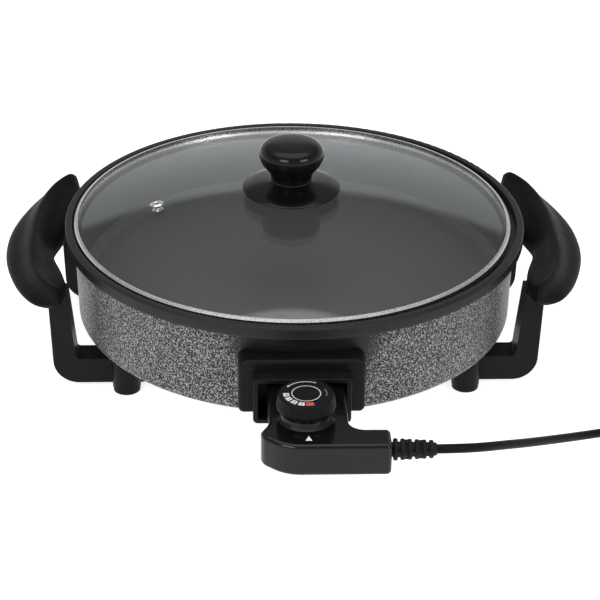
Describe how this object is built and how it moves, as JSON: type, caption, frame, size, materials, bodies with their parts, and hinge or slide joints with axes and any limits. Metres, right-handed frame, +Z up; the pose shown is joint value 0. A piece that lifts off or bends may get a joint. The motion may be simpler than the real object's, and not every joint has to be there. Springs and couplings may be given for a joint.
{
  "type": "electric griddle pan",
  "caption": "Round electric party pan with hammertone shell, domed glass lid, moulded legs and side grips, and a pull-out thermostat plug with dial on a mains cord.",
  "frame": {"origin": "on the surface the pan stands on, on the axis of the round pan", "axes": "+Z up along the pan's axis, -Y towards the thermostat socket, +X to the right when facing the socket"},
  "size_m": [0.637, 0.517, 0.1948],
  "materials": {
    "nonstick": "dark non-stick coating, satin",
    "hammertone": "grey speckled hammertone paint",
    "zinc_steel": "zinc-plated, dull",
    "element_steel": "heat-dulled steel",
    "contact_metal": "nickel-plated brass, satin",
    "ceramic": "unglazed ceramic",
    "black_matt": "moulded phenolic, fine matt texture",
    "black_gloss": "moulded, glossy",
    "dial_black": "moulded, knurled edge, pale print",
    "rubber": "soft matt rubber",
    "cord_rubber": "smooth rubber sheath",
    "tie_plastic": "soft strap",
    "silicone": "translucent silicone",
    "screw_steel": "zinc-plated",
    "stainless": "polished stainless steel",
    "lid_glass": "clear tempered glass"
  },
  "bodies": {
    "root": {"cooking_pan": "nonstick", "outer_shell": "hammertone", "base_plate": "zinc_steel", "heating_element": "element_steel", "element_clips": "element_steel", "probe_sleeve": "element_steel", "terminal_pins": "contact_metal", "pin_insulators": "ceramic", "earth_tab": "contact_metal", "socket_block": "black_matt", "socket_shroud": "black_matt", "socket_screws": "screw_steel", "leg_front_left": "black_matt", "leg_front_right": "black_matt", "leg_rear_left": "black_matt", "leg_rear_right": "black_matt", "foot_front_left": "black_matt", "foot_front_right": "black_matt", "foot_rear_left": "black_matt", "foot_rear_right": "black_matt", "foot_pads": "rubber", "foot_screws": "screw_steel", "leg_screws": "screw_steel", "base_screws": "screw_steel", "grip_screws": "screw_steel", "left_grip": "black_matt", "right_grip": "black_matt"},
    "lid": {"lid_glass": "lid_glass", "lid_rim": "stainless", "vent_grommet": "stainless", "knob_flange": "black_gloss", "knob": "black_gloss", "knob_washer": "silicone", "knob_screw": "screw_steel"},
    "thermostat": {"thermostat_base": "black_gloss", "thermostat_cover": "black_gloss", "probe_rod": "stainless", "contact_sleeves": "contact_metal", "switch_block": "ceramic", "contact_leaves": "contact_metal", "thermostat_screws": "screw_steel", "strain_relief": "rubber", "cord_lead": "cord_rubber", "cord_coil": "cord_rubber", "cord_tail": "cord_rubber", "cord_tie": "tie_plastic", "mains_plug": "cord_rubber", "plug_pins": "contact_metal"},
    "dial": {"dial": "dial_black", "dial_spindle": "contact_metal"}
  },
  "joints": [
    {"name": "lid_lift", "type": "slide", "parent": "root", "child": "lid", "axis": [0, 0, 1], "range_m": [0, 0.15]},
    {"name": "thermostat_pull", "type": "slide", "parent": "root", "child": "thermostat", "axis": [0, -1, 0], "range_m": [0, 0.125]},
    {"name": "dial_turn", "type": "hinge", "parent": "thermostat", "child": "dial", "pos_m": [0.0012, -0.268, 0.09], "axis": [0, 0, 1], "range_deg": [0, 270]}
  ]
}
